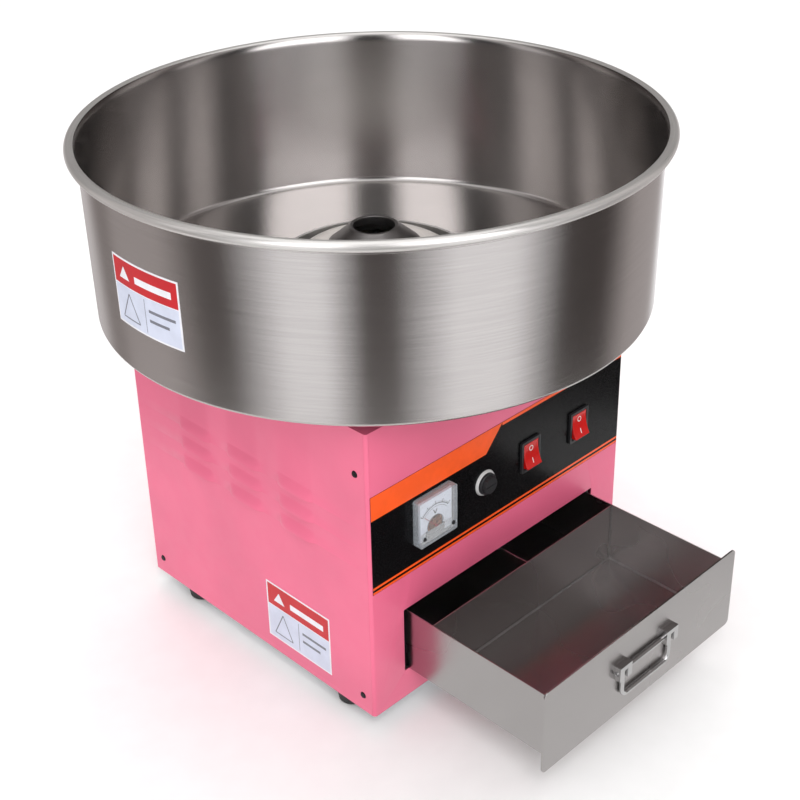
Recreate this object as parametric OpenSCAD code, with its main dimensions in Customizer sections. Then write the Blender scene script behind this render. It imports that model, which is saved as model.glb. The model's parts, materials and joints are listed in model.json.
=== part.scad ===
// Counter-top cotton candy machine: a sheet-metal cabinet with a drawer, a motor that spins
// a heated sugar head, and a steel bowl that catches the floss.
// Millimetres. +Z is up, the front faces -Y, and the origin is on the counter under the bowl's axis.
// The drawer stands open.

/* [Cabinet] */
// Outer width of the cabinet
body_w = 332; // [320:1:345]
// Outer depth of the cabinet, front panel to back
body_d = 314; // [306:1:325]
// Height of the rubber feet, which is the gap under the cabinet
foot_h = 18; // [15:1:22]
// Height of the cabinet's sheet-metal sides
body_h = 288; // [284:1:296]
// Thickness of the cabinet's steel sheet
sheet = 1; // [0.8:0.1:1.2]

/* [Bowl] */
// Outer radius of the bowl's rolled rim
bowl_r = 260; // [240:1:270]
// Height of the bowl, underside to the top of its rim
bowl_h = 159; // [140:1:180]
// Gap between the cabinet's top and the underside of the bowl
bowl_gap = 19; // [17:0.5:22]
// Radius of the rolled rim's bead
bead_r = 4.6; // [3.5:0.1:5.5]

/* [Spinner head] */
// Inner radius of the sugar funnel's mouth
mouth_r = 18.8; // [16:0.1:20]
// Height of the funnel's mouth above the underside of the bowl
mouth_h = 59; // [57:0.5:61]
// Outer radius of the head's dish
dish_r = 92; // [88:1:96]

/* [Drawer] */
// How far the drawer stands open
drawer_open = 157; // [60:1:180]
// Depth of the drawer's tray
tray_d = 262; // [250:1:262]
// Width of the drawer's tray
tray_w = 246.4; // [240:0.2:247]

/* [Controls] */
// Height of the row of controls above the counter
controls_z = 197; // [192:0.5:200]
// Side of the square voltmeter
meter_side = 45; // [42:0.5:48]
// Throw of each rocker switch, in degrees
rocker_throw = 24; // [20:1:26]

/* [Hidden] */
$fn = 64;

pink = [0.93, 0.42, 0.56];
steel = [0.72, 0.71, 0.69];
zinc = [0.62, 0.64, 0.66];
black = [0.07, 0.07, 0.08];
copper = [0.72, 0.42, 0.25];

// Cabinet levels and faces
top_z = foot_h + body_h;
side_x = body_w / 2;
front_y = -body_d / 2;
back_y = body_d / 2;
sheet_top_z = top_z - sheet;
fold_r = 1.5;
foot_x = 147;
foot_y = 108;
foot_r = 15;
platform_r = 122;
shaft_hole_r = 34;

// Bowl levels
bowl_z = top_z + bowl_gap;
rim_z = bowl_z + bowl_h;
wall_t = 1.2;
wall_top_r = bowl_r - 2 * bead_r - 0.4;
wall_foot_r = wall_top_r - 1.8;
bowl_hole_r = 98;
gasket_t = 1.5;
deck_under_z = bowl_z - gasket_t - sheet;

// Drawer: the tray's and the opening's edges, and the face of its front
tray_z = foot_h + 29.4;
tray_top_z = foot_h + 92;
opening_x = 128.2;
opening_z0 = foot_h + 28.8;
opening_z1 = foot_h + 95.4;
front_t = 1.5;
tray_front_y = front_y - drawer_open;
face_y = tray_front_y - front_t;
front_compartment = 128.4;
face_x = 132;
face_z0 = foot_h + 18.5;
face_z1 = foot_h + 101.5;
tunnel_x = 127.2;
tunnel_roof_z = foot_h + 98;
tunnel_back_y = 113;
tunnel_floor_z = foot_h + 24.5;
rail_t = tray_z - tunnel_floor_z - sheet - 0.1;

// Handle: the hinge axis of the bail and its wire
bail_z = foot_h + 67;
bail_wire_r = 2.1;
bail_x = 32.5;
bail_drop = 28;
bail_y = face_y - bail_wire_r - 0.4;
lug_w = 16;
bail_corner_r = 7;

// Controls, as places across the front
meter_x = -93.2;
fuse_x = -26;
heat_x = 33.3;
power_x = 101.3;
overlay_z0 = foot_h + 131;
overlay_z1 = foot_h + 228;
overlay_t = 0.3;
meter_hole_r = 19.5;
meter_depth = 8.8;
meter_pivot_z = controls_z - 10;
switch_hole = [22, 28.5];
bezel = [25.5, 32, 2.4];
rocker_hinge_y = front_y;
rocker_w = 19.6;
rocker_reach = 12;
trunnion_r = 1.5;
fuse_ring_r = 12.3;
fuse_body_r = 6.2;

// Motor stack
motor_r = 46;
bolt_circle_r = 52;
bridge_z = tunnel_roof_z + 15;
bridge_t = 3;
damper_h = 12;
lower_shield_z = bridge_z + bridge_t + damper_h;
core_z = lower_shield_z + 19;
core_h = 30;
upper_shield_z = core_z + core_h;
shield_h = 19;
bearing_r = 11;
bearing_h = 7;
shaft_r = 3.95;
shaft_z0 = bridge_z + 4;
slip_z = upper_shield_z + shield_h + 25;
ring_h = 8;
ring_pitch = 20;
ring_r = 19;
brush_gap = 0.3;

// Spinner head levels
head_z = bowl_z + 6;
mouth_z = bowl_z + mouth_h;
dome_top_z = head_z + 34;
rim_lip_z = head_z + 18;
shaft_top_z = head_z + 14;
pillar_r = 58;

// ---- Shapes used more than once ----

module rounded_square(size, r) {
    square([size.x - 2 * r, size.y], center = true);
    square([size.x, size.y - 2 * r], center = true);
    for (x = [-1, 1], y = [-1, 1])
        translate([x * (size.x / 2 - r), y * (size.y / 2 - r)]) circle(r, $fn = 32);
}

// A plate that stands in the XZ plane, with its outline centred on (x, z) and its front at y.
module standing(x, y, z, t) translate([x, y + t, z]) rotate([90, 0, 0]) linear_extrude(t) children();

module tube(outer, inner, h) difference() {
    cylinder(r = outer, h = h);
    translate([0, 0, -1]) cylinder(r = inner, h = h + 2);
}

// A box given by its two corners.
module span(low, high) translate(low) cube(high - low);

function unit(v) = v / norm(v);
function heading(route, i) = unit(route[min(i + 1, len(route) - 1)] - route[max(i - 1, 0)]);

// The direction of each ring's first corner, carried from ring to ring along the route.
function ring_starts(route, n, i = 0) = i == len(route) ? [] :
    let (t = heading(route, i), m = unit(n - (n * t) * t)) concat([m], ring_starts(route, m, i + 1));

// An eight-sided bundle of wires along a route; first is any direction across its start.
module bundle(route, r, first) {
    starts = ring_starts(route, first);
    points = [for (i = [0:len(route) - 1], k = [0:7])
        route[i] + r * (cos(k * 45) * starts[i] + sin(k * 45) * cross(heading(route, i), starts[i]))];
    sides = [for (i = [0:len(route) - 2], k = [0:7]) let (next = (k + 1) % 8)
        [8 * i + k, 8 * i + 8 + k, 8 * i + 8 + next, 8 * i + next]];
    ends = [[for (k = [0:7]) k], [for (k = [7:-1:0]) 8 * (len(route) - 1) + k]];
    polyhedron(points, concat(sides, ends));
}

// Places a child four times, at the corners of a rectangle.
module corners(x, y) for (i = [-1, 1], j = [-1, 1]) translate([i * x, j * y, 0]) children();

module around(count, r, start = 0) for (i = [0:count - 1])
    rotate([0, 0, start + i * 360 / count]) translate([r, 0, 0]) children();

// ---- Cabinet ----

louvre_len = 46;
louvre_h = 12;
louvre_proud = 5;
louvre_pitch = [68, 21];
louvre_z = foot_h + 194;
louvre_big_r = (louvre_h * louvre_h + louvre_proud * louvre_proud) / (2 * louvre_proud);
louvre_inset = louvre_big_r - louvre_proud;

// A spindle along Y whose skin bulges out of the side sheet as one pressed louvre.
module louvre_spindle(shrink) rotate([90, 0, 0]) rotate_extrude($fn = 48) polygon(concat(
    [[0, -louvre_len / 2]],
    [for (i = [-4:4]) [louvre_inset + louvre_proud * (1 - i * i / 16) - shrink, i * louvre_len / 8]],
    [[0, louvre_len / 2]]));

// The part of a spindle outside x = skin and above the louvre's open lower edge.
module louvre(shrink, skin, open_edge) intersection() {
    translate([side_x - louvre_inset, 0, 0]) louvre_spindle(shrink);
    span([side_x - skin, -louvre_len / 2, open_edge], [side_x + 10, louvre_len / 2, 20]);
}

module louvre_places() for (side = [0, 1], i = [-1:1], row = [0:2])
    mirror([side, 0, 0]) translate([0, i * louvre_pitch.x, louvre_z - row * louvre_pitch.y])
        children();

back_fold_r = 3;
seam = 0.05;

// The outline of the sides and the back from above, cut to the stretch between two depths.
module wrap_outline(y0, y1) intersection() {
    difference() {
        translate([0, back_y - 200]) rounded_square([body_w, 400], back_fold_r);
        translate([0, back_y - 200])
            rounded_square([body_w - 2 * sheet, 400 - 2 * sheet], back_fold_r - sheet);
    }
    translate([-200, y0]) square([400, y1 - y0]);
}

side_screw_y = body_d / 2 - 14;
side_screw_z = [foot_h + 17, top_z - 42];

module side_panels() color(pink) difference() {
    union() {
        translate([0, 0, foot_h]) linear_extrude(body_h - sheet)
            wrap_outline(front_y + sheet, back_y - back_fold_r - seam);
        louvre_places() louvre(0, sheet / 2, 0);
    }
    louvre_places() louvre(sheet, 2 * sheet, -0.5);
    for (z = side_screw_z, y = [-1, 1]) translate([-200, y * side_screw_y, z])
        rotate([0, 90, 0]) cylinder(r = 2, h = 400, $fn = 24);
}

// The back is folded forward a little at its sides, where the side panels are welded to it.
module back_panel() color(pink) difference() {
    translate([0, 0, foot_h]) linear_extrude(body_h - sheet) wrap_outline(back_y - back_fold_r, back_y + 1);
    translate([gland_x, back_y + 5, gland_z]) rotate([90, 0, 0]) cylinder(r = gland_r, h = 10);
    for (i = [-4:4]) translate([i * 18, back_y, foot_h + 190])
        standing(0, -5, 0, 10) rounded_square([5, 60], 2.4);
}

module front_panel() color(pink) difference() {
    translate([0, 0, foot_h]) linear_extrude(body_h - sheet) difference() {
        translate([0, front_y + 100]) rounded_square([body_w - 2 * sheet, 200], fold_r);
        translate([0, front_y + 100]) rounded_square([body_w - 4 * sheet, 200 - 2 * sheet], fold_r - 0.5);
        translate([-200, front_y + 22]) square([400, 400]);
    }
    span([-opening_x, front_y - 5, opening_z0], [opening_x, front_y + 5, opening_z1]);
    control_holes();
    for (z = side_screw_z) translate([-200, -side_screw_y, z])
        rotate([0, 90, 0]) cylinder(r = 2, h = 400, $fn = 24);
}

// The holes through the front panel and its overlay for the four controls.
module control_holes() {
    standing(meter_x, front_y - 5, controls_z, 10) circle(meter_hole_r);
    standing(fuse_x, front_y - 5, controls_z - 2.5, 10) circle(fuse_body_r);
    for (x = [heat_x, power_x]) standing(x, front_y - 5, controls_z, 10)
        square(switch_hole, center = true);
}

module control_overlay() color(black) difference() {
    span([-side_x + 2.5, front_y - overlay_t, overlay_z0], [side_x - 2.5, front_y, overlay_z1]);
    control_holes();
}

// The deck's plate is drawn up in the middle into a round platform that carries the bowl.
module top_deck() color(pink) {
    translate([0, 0, sheet_top_z]) linear_extrude(sheet) difference() {
        rounded_square([body_w, body_d], 3);
        circle(platform_r + 11, $fn = 128);
    }
    translate([0, 0, sheet_top_z - 14]) linear_extrude(14.5) difference() {
        rounded_square([body_w - 4.4, body_d - 2.4], 2);
        rounded_square([body_w - 4.4 - 2 * sheet, body_d - 2.4 - 2 * sheet], 1);
    }
    rotate_extrude($fn = 128) polygon([
        [platform_r + 12, sheet_top_z], [platform_r + 12, top_z], [platform_r, bowl_z - gasket_t],
        [shaft_hole_r, bowl_z - gasket_t], [shaft_hole_r, bowl_z - gasket_t - 6],
        [shaft_hole_r + sheet, bowl_z - gasket_t - 6], [shaft_hole_r + sheet, deck_under_z],
        [platform_r - 0.5, deck_under_z], [platform_r + 11, sheet_top_z]]);
}

module base_plate() color(zinc) difference() {
    translate([0, 0, foot_h]) linear_extrude(13) rounded_square([body_w - 4.4, body_d - 4], 2);
    translate([0, 0, foot_h + 1.2]) linear_extrude(20)
        rounded_square([body_w - 4.4 - 2 * sheet, body_d - 4 - 2 * sheet], 1);
    corners(foot_x, foot_y) translate([0, 0, foot_h - 1]) cylinder(r = 2.6, h = 5, $fn = 32);
    for (i = [-3:3]) translate([i * 26, 0, foot_h - 1]) linear_extrude(5)
        rounded_square([6, 110], 2.9);
}

module foot() rotate_extrude() polygon([[2.6, 9], [6.5, 9], [6.5, 0], [foot_r - 4, 0],
    [foot_r - 2.6, 1.2], [foot_r, foot_h], [2.6, foot_h]]);

module feet() color(black) corners(foot_x, foot_y) foot();

module foot_screws() color(zinc) corners(foot_x, foot_y) {
    translate([0, 0, 6]) cylinder(r = 5, h = 3, $fn = 32);
    translate([0, 0, 9]) cylinder(r = 2.5, h = foot_h - 1, $fn = 32);
    translate([0, 0, foot_h + 1.2]) cylinder(r = 4.6, h = 3.5, $fn = 6);
}

module side_screws() color(black) for (s = [0, 1], z = side_screw_z, y = [-1, 1])
    mirror([s, 0, 0]) translate([side_x, y * side_screw_y, z]) rotate([0, 90, 0]) {
        cylinder(r1 = 3.2, r2 = 2.4, h = 0.9, $fn = 32);
        translate([0, 0, -7]) cylinder(r = 1.95, h = 7, $fn = 32);
    }

label_size = [84, 62];

module side_label() color("white")
    translate([-side_x - 0.3, -61, foot_h + 46]) rotate([90, 0, 90])
        linear_extrude(0.3) rounded_square(label_size, 1.5);

// ---- Drawer and its tunnel ----

module drawer_tunnel() color(zinc) {
    difference() {
        span([-tunnel_x - sheet, front_y + 4, foot_h + 1.2],
            [tunnel_x + sheet, tunnel_back_y, tunnel_roof_z + sheet]);
        span([-tunnel_x, front_y - 5, foot_h - 5], [tunnel_x, tunnel_back_y + 5, tunnel_roof_z]);
    }
    for (s = [0, 1]) mirror([s, 0, 0])
        span([tunnel_x, front_y + 4, foot_h + 1.2], [tunnel_x + 8, tunnel_back_y, foot_h + 1.2 + sheet]);
    span([-tunnel_x, front_y + 4, tunnel_floor_z], [tunnel_x, tunnel_back_y, tunnel_floor_z + sheet]);
    span([-tunnel_x, tunnel_back_y - sheet, tunnel_floor_z],
        [tunnel_x, tunnel_back_y, tunnel_roof_z]);
}

module drawer_rails() color("white") for (s = [0, 1]) mirror([s, 0, 0])
    span([tray_w / 2 - 14, front_y + 4, tunnel_floor_z + sheet],
        [tray_w / 2 - 4, 104, tunnel_floor_z + sheet + rail_t]);

module drawer_tray() color(steel) difference() {
    span([-tray_w / 2, tray_front_y, tray_z], [tray_w / 2, tray_front_y + tray_d, tray_top_z]);
    span([-tray_w / 2 + sheet, tray_front_y + sheet, tray_z + sheet],
        [tray_w / 2 - sheet, tray_front_y + tray_d - sheet, tray_top_z + 5]);
}

partition_y = face_y + front_compartment + sheet;

// The partition across the tray and the divider behind it are one T-shaped sheet.
module drawer_partition() color(steel) {
    span([-tray_w / 2 + sheet, partition_y, tray_z + sheet],
        [tray_w / 2 - sheet, partition_y + sheet, tray_top_z - 0.5]);
    span([-sheet / 2, partition_y, tray_z + sheet],
        [sheet / 2, tray_front_y + tray_d - sheet, tray_top_z - 0.5]);
}

module drawer_front() color(steel)
    standing(0, face_y, (face_z0 + face_z1) / 2, front_t)
        rounded_square([2 * face_x, face_z1 - face_z0], 5);

lug_z0 = bail_z - 7;
lug_z1 = bail_z + 7;
lug_proud = face_y - bail_y + bail_wire_r + 1.6;
bail_bore_r = bail_wire_r + 0.05;

// Each lug is a folded strap with a bore for the bail and a slot that its leg swings through.
module handle_lugs() color("silver") for (s = [0, 1]) mirror([s, 0, 0]) difference() {
    span([bail_x - lug_w / 2, face_y - lug_proud, lug_z0], [bail_x + lug_w / 2, face_y, lug_z1]);
    translate([0, bail_y, bail_z]) rotate([0, 90, 0]) cylinder(r = bail_bore_r, h = 100, $fn = 48);
    span([bail_x - bail_wire_r - 0.4, face_y - lug_proud - 1, lug_z0 - 1],
        [bail_x + bail_wire_r + 0.4, face_y - 0.2, bail_z + bail_wire_r + 0.4]);
}

// A closed loop of wire: the top bar turns in the lugs and the rest hangs from it.
module handle_bail() color("silver") translate([0, bail_y, bail_z]) {
    rotate([0, 90, 0]) cylinder(r = bail_wire_r, h = 2 * (bail_x + 6), center = true, $fn = 48);
    translate([0, 0, -bail_drop]) rotate([0, 90, 0])
        cylinder(r = bail_wire_r, h = 2 * (bail_x - bail_corner_r), center = true, $fn = 48);
    for (s = [0, 1]) mirror([s, 0, 0]) {
        translate([bail_x, 0, bail_corner_r - bail_drop])
            cylinder(r = bail_wire_r, h = bail_drop - bail_corner_r, $fn = 48);
        translate([bail_x - bail_corner_r, 0, bail_corner_r - bail_drop]) rotate([90, 0, 0])
            rotate([0, 0, -90]) rotate_extrude(angle = 90, $fn = 48)
                translate([bail_corner_r, 0]) circle(bail_wire_r, $fn = 48);
    }
}

// ---- Motor ----

module motor_bridge() color(zinc) difference() {
    union() {
        span([-72, -62, bridge_z], [72, 62, bridge_z + bridge_t]);
        for (s = [0, 1]) mirror([s, 0, 0]) {
            span([69, -62, tunnel_roof_z + sheet], [72, 62, bridge_z]);
            span([69, -62, tunnel_roof_z + sheet], [86, 62, tunnel_roof_z + sheet + bridge_t]);
        }
    }
    translate([0, 0, bridge_z - 1]) cylinder(r = 18, h = 5);
    around(4, bolt_circle_r, 45) translate([0, 0, bridge_z - 1]) cylinder(r = 2.5, h = 5, $fn = 32);
}

module motor_dampers() color(black) translate([0, 0, bridge_z + bridge_t])
    around(4, bolt_circle_r, 45) tube(8, 2.5, damper_h);

// An end shield: a flange with four bolt holes, a shallow cup and a seat for the bearing.
module end_shield() difference() {
    union() {
        cylinder(r = 59, h = 3, $fn = 96);
        cylinder(r = motor_r, h = shield_h, $fn = 96);
    }
    translate([0, 0, 12]) cylinder(r = motor_r - 3, h = shield_h, $fn = 96);
    difference() {
        translate([0, 0, 3]) cylinder(r = motor_r - 3, h = shield_h, $fn = 96);
        cylinder(r = bearing_r + 4, h = 12);
    }
    translate([0, 0, 5]) cylinder(r = bearing_r, h = shield_h);
    translate([0, 0, -1]) cylinder(r = 7, h = shield_h);
    around(4, bolt_circle_r, 45) translate([0, 0, -1]) cylinder(r = 2.5, h = 5, $fn = 32);
    around(8, 29, 22.5) translate([0, 0, -1]) cylinder(r = 6, h = 5, $fn = 32);
}

module motor_lower_shield() color("silver") translate([0, 0, lower_shield_z]) end_shield();

module motor_upper_shield() color("silver")
    translate([0, 0, upper_shield_z + shield_h]) mirror([0, 0, 1]) end_shield();

slot_count = 12;
slot_circle_r = 34;

module stator_core() color([0.35, 0.35, 0.38]) translate([0, 0, core_z]) difference() {
    tube(motor_r, 26.5, core_h);
    around(slot_count, slot_circle_r) translate([0, 0, -1]) cylinder(r = 4, h = core_h + 2, $fn = 32);
}

module stator_coils() color(copper) {
    for (z = [core_z - 6, core_z + core_h]) translate([0, 0, z]) tube(40, 28, 6);
    around(slot_count, slot_circle_r) translate([0, 0, core_z]) cylinder(r = 3.8, h = core_h, $fn = 32);
}

module motor_bolts() color(zinc) around(4, bolt_circle_r, 45) {
    translate([0, 0, bridge_z - 4]) cylinder(r = 4.6, h = 4, $fn = 6);
    translate([0, 0, bridge_z - 4])
        cylinder(r = 2.4, h = upper_shield_z + shield_h - bridge_z + 4, $fn = 32);
    translate([0, 0, upper_shield_z + shield_h]) cylinder(r = 4.6, h = 4, $fn = 6);
}

module motor_bearings() color("silver")
    for (z = [lower_shield_z + 5, upper_shield_z + shield_h - 5 - bearing_h])
        translate([0, 0, z]) tube(bearing_r, shaft_r + 0.05, bearing_h);

module motor_shaft() color("silver") {
    translate([0, 0, shaft_z0]) cylinder(r = shaft_r, h = shaft_top_z - shaft_z0);
    translate([0, 0, head_z + 3.5]) cylinder(r = 7, h = 6, $fn = 6);
}

module rotor_core() color(zinc) translate([0, 0, core_z + 1]) tube(25.5, shaft_r, core_h - 2);

module cooling_fan() color(black) translate([0, 0, upper_shield_z + shield_h + 5]) {
    tube(9, shaft_r, 12);
    difference() {
        tube(40, 8, 1.5);
        around(6, 24, 30) translate([0, 0, -1]) cylinder(r = 5, h = 5, $fn = 32);
    }
    for (i = [0:5]) rotate([0, 0, i * 60]) span([8.5, -0.8, 1], [38, 0.8, 11]);
}

// ---- Slip rings and brushes ----

module slip_ring_hub() color([0.35, 0.18, 0.1]) translate([0, 0, slip_z - 4])
    tube(ring_r - 4, shaft_r, ring_pitch + ring_h + 8);

module slip_rings() color(copper) for (i = [0, 1])
    translate([0, 0, slip_z + i * ring_pitch]) tube(ring_r, ring_r - 4, ring_h);

brush_x0 = ring_r + brush_gap;
brush_len = 15;
holder_x = [23, 46];

module brush(level) color([0.2, 0.2, 0.21]) {
    span([brush_x0, -3, slip_z + level + 1], [brush_x0 + brush_len, 3, slip_z + level + 7]);
}

module lower_brush() brush(0);
module upper_brush() brush(ring_pitch);

module brush_holder() color([0.3, 0.15, 0.1]) difference() {
    union() {
        span([holder_x[0], -8, slip_z - 3], [holder_x[1], 8, slip_z + ring_pitch + ring_h + 3]);
        span([40, -8, slip_z + ring_pitch + ring_h], [holder_x[1], 8, deck_under_z]);
        span([40, -8, deck_under_z - 3], [62, 8, deck_under_z]);
    }
    for (i = [0, 1])
        span([holder_x[0] - 1, -3.1, slip_z + i * ring_pitch + 0.9],
            [holder_x[1] - 2, 3.1, slip_z + i * ring_pitch + 7.1]);
}

spring_turns = 5;

// Each spring is a stack of wire rings joined by a straight keeper along its top.
module brush_springs() color("silver") for (i = [0, 1])
    translate([brush_x0 + brush_len + 0.1, 0, slip_z + i * ring_pitch + 4]) rotate([0, 90, 0]) {
        for (t = [0:spring_turns - 1]) translate([0, 0, 0.4 + t * 2]) rotate_extrude($fn = 32)
            translate([2.2, 0]) circle(0.35, $fn = 16);
        translate([-2.2, 0, 0]) cylinder(r = 0.35, h = 9.2, $fn = 16);
    }

// ---- Mains side ----

gland_x = 130;
gland_z = foot_h + 60;
gland_r = 8;
gland_bore_r = 4.2;

module cord_gland() color(black) translate([gland_x, back_y, gland_z]) rotate([-90, 0, 0])
    difference() {
        union() {
            translate([0, 0, -12]) cylinder(r = gland_r - 0.1, h = 14);
            cylinder(r = 11, h = 4, $fn = 6);
            translate([0, 0, 4]) cylinder(r = 9.5, h = 9);
            translate([0, 0, -sheet - 4]) cylinder(r = 11, h = 4, $fn = 6);
        }
        translate([0, 0, -20]) cylinder(r = gland_bore_r, h = 50);
    }

block_x = -148;

module terminal_block() color("ivory") difference() {
    span([block_x - 10, 30, foot_h + 1.2], [block_x + 10, 102, foot_h + 20]);
    for (i = [0:4]) translate([0, 38 + i * 14, 0]) {
        span([block_x - 8, -4.5, foot_h + 12], [block_x + 8, 4.5, foot_h + 25]);
        translate([block_x, 0, foot_h + 5]) cylinder(r = 2, h = 20, $fn = 24);
    }
}

module run_capacitor() color("silver") translate([149.5, 20, foot_h + 1.2]) {
    cylinder(r = 13, h = 52);
    for (y = [-4, 4]) translate([-0.4, y - 2.5, 52]) cube([0.8, 5, 7]);
}

loom_r = 3;

// The wires in five bundles: to the terminals, the meter and fuse, the switches and the brushes.
module wiring_loom() color("red") {
    bundle([[gland_x, 142, gland_z], [gland_x, 134, gland_z + 2], [gland_x - 8, 130, gland_z + 8],
        [-132, 130, gland_z + 8], [block_x, 126, gland_z], [block_x, 112, foot_h + 32],
        [block_x, 94, foot_h + 24]], loom_r, [0, 0, 1]);
    bundle([[block_x, 52, foot_h + 24], [block_x, 46, foot_h + 34], [block_x, 44, 140],
        [block_x, 36, 156], [block_x, -110, 162], [-144, -122, 170], [-112, -124, controls_z - 6],
        [-106, -133, controls_z]], loom_r, [1, 0, 0]);
    bundle([[-134, -112, 160], [-60, -112, 164], [fuse_x - 6, -113, 176], [fuse_x, -119, fuse_z]],
        loom_r - 0.5, [0, 0, 1]);
    for (x = [heat_x, power_x]) bundle([[fuse_x + 8, -106 + x / 20, 160 - x / 12],
        [x - 12, -112 + x / 20, 166 - x / 12], [x - 2, -116, 184], [x, -126, controls_z - 8]],
        loom_r - 1, [0, 0, 1]);
    bundle([[block_x + 5, 66, foot_h + 24], [block_x + 5, 66, 148], [-128, 66, 168], [-60, 66, 238],
        [40, 66, 256], [58, 48, 262], [58, 14, 268], [50, 4, 268]], loom_r - 1, [1, 0, 0]);
}

// ---- Voltmeter ----

module meter_case() color(black) difference() {
    translate([meter_x, front_y + 20, controls_z]) rotate([90, 0, 0])
        cylinder(r = meter_hole_r - 0.3, h = front_y + 20 - dial_y - 0.6);
    translate([meter_x, front_y + 18, controls_z]) rotate([90, 0, 0])
        cylinder(r = meter_hole_r - 1.8, h = 30);
}

dial_y = front_y - overlay_t - 4.5;

module meter_dial() color("white") standing(meter_x, dial_y, controls_z, 0.6) difference() {
    rounded_square([meter_side - 5, meter_side - 5], 0.8);
    translate([0, meter_pivot_z - controls_z]) circle(9.5);
    translate([0, -16]) square([24, 8], center = true);
}

module meter_movement() color(copper) {
    standing(meter_x, dial_y + 0.8, controls_z - 8.5, 2.6) rounded_square([17, 10], 1);
    standing(meter_x, dial_y + 3.4, controls_z - 8.5, 10) rounded_square([13, 9], 1);
    translate([meter_x, dial_y + 1, meter_pivot_z]) rotate([90, 0, 0]) cylinder(r = 1, h = 1.6, $fn = 32);
}

module meter_cover() color([0.9, 0.95, 1, 0.4]) difference() {
    standing(meter_x, front_y - overlay_t - meter_depth, controls_z, meter_depth)
        rounded_square([meter_side, meter_side], 2);
    standing(meter_x, front_y - overlay_t - meter_depth + 1.6, controls_z, meter_depth)
        rounded_square([meter_side - 4, meter_side - 4], 1);
}

module meter_needle() color("red") translate([meter_x, dial_y - 1.8, meter_pivot_z]) {
    rotate([0, -45, 0]) span([-0.25, 0, -3], [0.25, 0.4, 20]);
    rotate([-90, 0, 0]) cylinder(r = 1.6, h = 0.5, $fn = 32);
}

// ---- Fuse ----

fuse_z = controls_z - 2.5;
fuse_y = front_y - overlay_t;

module fuse_holder() color([0.85, 0.85, 0.84]) translate([fuse_x, fuse_y, fuse_z]) rotate([90, 0, 0])
    difference() {
        union() {
            cylinder(r1 = fuse_ring_r, r2 = fuse_ring_r - 1, h = 2);
            translate([0, 0, -34]) cylinder(r = fuse_body_r - 0.1, h = 35);
            translate([0, 0, -overlay_t - sheet - 4]) cylinder(r = 9.5, h = 4, $fn = 6);
        }
        translate([0, 0, -32]) cylinder(r = 4.6, h = 50);
        translate([0, 0, 0.8]) cylinder(r = 9.4, h = 5);
    }

// The glass fuse with its end caps, on the stem that carries it out of the holder.
module fuse_link() color([0.85, 0.9, 0.9, 0.5]) translate([fuse_x, fuse_y, fuse_z]) rotate([90, 0, 0]) {
    translate([0, 0, -9]) cylinder(r = 4.3, h = 10.5);
    translate([0, 0, -30]) cylinder(r = 2.6, h = 21.2);
    for (z = [-30, -15]) translate([0, 0, z]) cylinder(r = 3, h = 6);
}

module fuse_cap() color(black) translate([fuse_x, fuse_y, fuse_z]) rotate([90, 0, 0]) difference() {
    union() {
        translate([0, 0, 1.6]) cylinder(r = 7.6, h = 6);
        translate([0, 0, 1.6]) cylinder(r = 8.6, h = 2);
        around(16, 7.4) translate([0, 0, 3.4]) cylinder(r = 0.7, h = 3.8, $fn = 16);
    }
    translate([-6, -0.9, 6.6]) cube([12, 1.8, 2]);
}

// ---- Rocker switches ----

module switch_frame(x) color(black) translate([x, front_y - overlay_t, controls_z])
    rotate([90, 0, 0]) difference() {
        union() {
            linear_extrude(bezel.z) rounded_square([bezel.x, bezel.y], 1.5);
            translate([0, 0, -22]) linear_extrude(22.5)
                rounded_square([switch_hole.x - 0.4, switch_hole.y - 0.4], 0.6);
            for (y = [-8, 0, 8]) translate([-3, y - 0.4, -30]) cube([6, 0.8, 9]);
        }
        translate([0, 0, -13]) linear_extrude(20) square([rocker_w + 0.6, 26.6], center = true);
        translate([0, 0, -overlay_t]) rotate([0, 90, 0])
            cylinder(r = trunnion_r + 0.05, h = rocker_w + 4, center = true, $fn = 32);
    }

module heat_switch_frame() switch_frame(heat_x);
module power_switch_frame() switch_frame(power_x);

// A rocker turned to its off side: the upper half lies flush and the lower half stands out.
// It turns on a trunnion at each end.
module rocker(x) color([0.8, 0.05, 0.03]) translate([x, rocker_hinge_y, controls_z]) {
    rotate([-rocker_throw / 2, 0, 0]) rotate([90, 0, 90]) translate([0, 0, -rocker_w / 2])
        linear_extrude(rocker_w) polygon([
            [-4.8, rocker_reach], [-4.1, 8], [-3.5, 4], [-3.2, 0], [-3.5, -4], [-4.1, -8],
            [-4.8, -rocker_reach], [3, -rocker_reach + 1.4], [6, -4], [6, 4], [3, rocker_reach - 1.4]]);
    rotate([0, 90, 0]) cylinder(r = trunnion_r, h = rocker_w + 1.6, center = true, $fn = 32);
}

module heat_rocker() rocker(heat_x);
module power_rocker() rocker(power_x);

// ---- Spinner head ----

module head_hub() color("silver") translate([0, 0, head_z - 18]) {
    tube(15, shaft_r, 14);
    translate([0, 0, 14]) tube(24, shaft_r, 4);
}

module head_dish() color("silver") difference() {
    rotate_extrude($fn = 128) polygon([
        [shaft_r, head_z], [dish_r - 9, head_z], [dish_r, head_z + 9], [dish_r, rim_lip_z],
        [dish_r - 3, rim_lip_z], [dish_r - 3, head_z + 10.5], [dish_r - 10.2, head_z + 3.5],
        [shaft_r, head_z + 3.5]]);
    around(4, pillar_r, 45) translate([0, 0, head_z - 1]) cylinder(r = 2, h = 6, $fn = 32);
}

// Two heating rings on ceramic posts.
module heater_element() color([0.4, 0.36, 0.33]) {
    for (z = [5, 8.5]) translate([0, 0, head_z + 1 + z]) rotate_extrude($fn = 96)
        translate([72, 0]) circle(1.2, $fn = 24);
    around(6, 72, 30) translate([0, 0, head_z + 3.5]) cylinder(r = 2.4, h = 7.5, $fn = 32);
}

band_slots = 36;

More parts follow.
